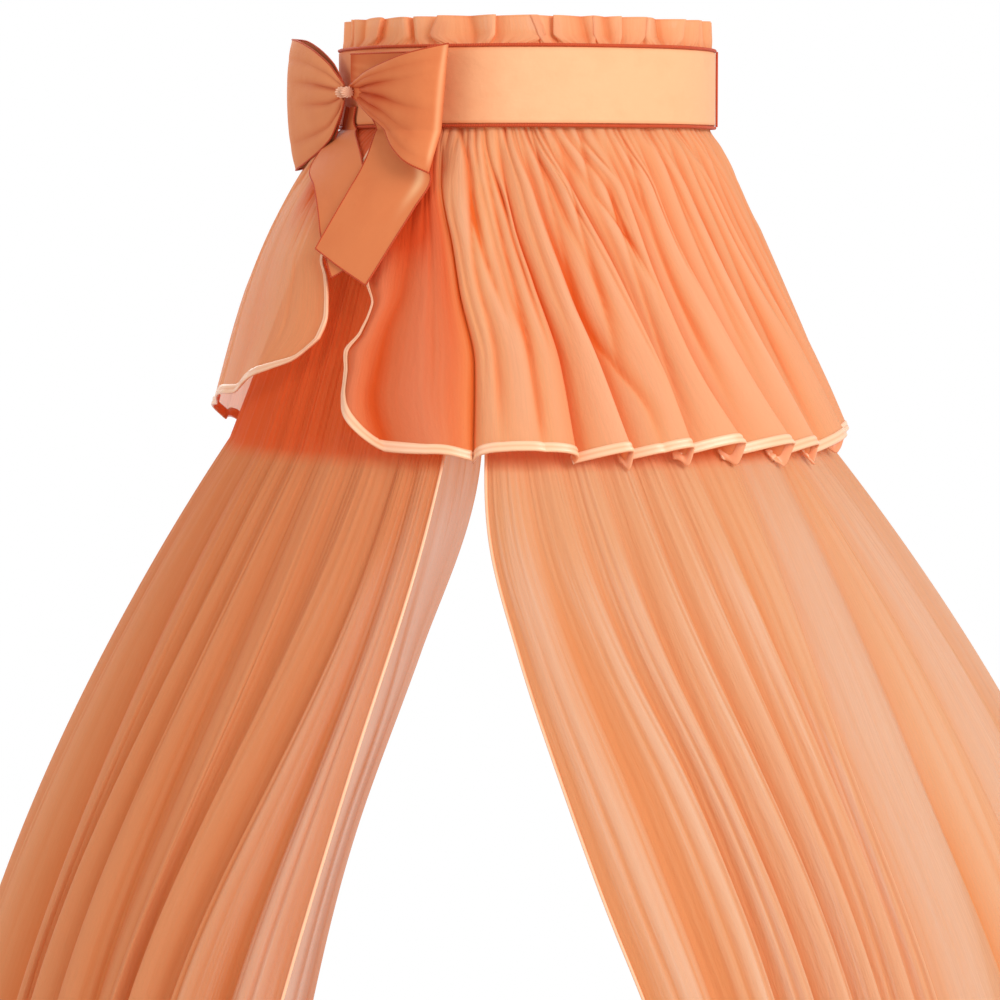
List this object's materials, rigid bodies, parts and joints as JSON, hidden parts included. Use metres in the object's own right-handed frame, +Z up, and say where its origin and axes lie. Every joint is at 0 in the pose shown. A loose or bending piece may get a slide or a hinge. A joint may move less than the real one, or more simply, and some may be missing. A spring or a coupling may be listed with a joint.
{
  "type": "bed crown canopy",
  "caption": "Bed crown canopy: stiffened satin belt with bow, frill and slit valance on a wire hoop, sheer curtains in rod pockets that part at the front, moulded head with a mast socket.",
  "frame": {"origin": "centre of the flat seat inside the mast socket, which the mast's top end bears on, at the back of the hoop", "axes": "+Z up along the mast, -Y towards the doorway between the curtains, +X to the right as seen from the doorway"},
  "size_m": [1.2851, 1.0788, 1.6],
  "materials": {
    "voile": "sheer orange voile",
    "belt_satin": "pale satin",
    "bow_satin": "orange satin",
    "rust_cord": "satin-covered cord",
    "hem_ribbon": "glossy satin ribbon",
    "buckram": "stiffened cloth",
    "hook_and_loop": "napped tape",
    "steel_wire": "zinc plated",
    "white_plastic": "moulded"
  },
  "bodies": {
    "crown": {"hoop": "steel_wire", "mast_head": "white_plastic", "left_set_screw": "steel_wire", "right_set_screw": "steel_wire", "front_hanging_tab": "hook_and_loop", "back_left_hanging_tab": "hook_and_loop", "back_right_hanging_tab": "hook_and_loop", "belt_stiffener": "buckram", "satin_belt": "belt_satin", "belt_top_piping": "rust_cord", "belt_bottom_piping": "rust_cord", "header_frill": "voile", "valance": "voile", "valance_ribbon": "hem_ribbon", "bow_left_loop": "bow_satin", "bow_right_loop": "bow_satin", "bow_left_tail": "bow_satin", "bow_right_tail": "bow_satin", "bow_knot": "bow_satin"},
    "left_drape": {"left_rod_pocket": "voile", "left_curtain": "voile", "left_curtain_binding": "hem_ribbon"},
    "right_drape": {"right_rod_pocket": "voile", "right_curtain": "voile", "right_curtain_binding": "hem_ribbon"},
    "hand_screw": {"mast_clamp_screw": "white_plastic"}
  },
  "joints": [
    {"name": "left_drape_draw", "type": "hinge", "parent": "crown", "child": "left_drape", "pos_m": [0, -0.15, 0.012], "axis": [0, 0, -1], "range_deg": [0, 13]},
    {"name": "right_drape_draw", "type": "hinge", "parent": "crown", "child": "right_drape", "pos_m": [0, -0.15, 0.012], "axis": [0, 0, 1], "range_deg": [0, 13]},
    {"name": "hand_screw_turn", "type": "hinge", "parent": "crown", "child": "hand_screw", "pos_m": [0, -0.02, -0.024], "axis": [0, -1, 0], "range_deg": [0, 360]}
  ]
}
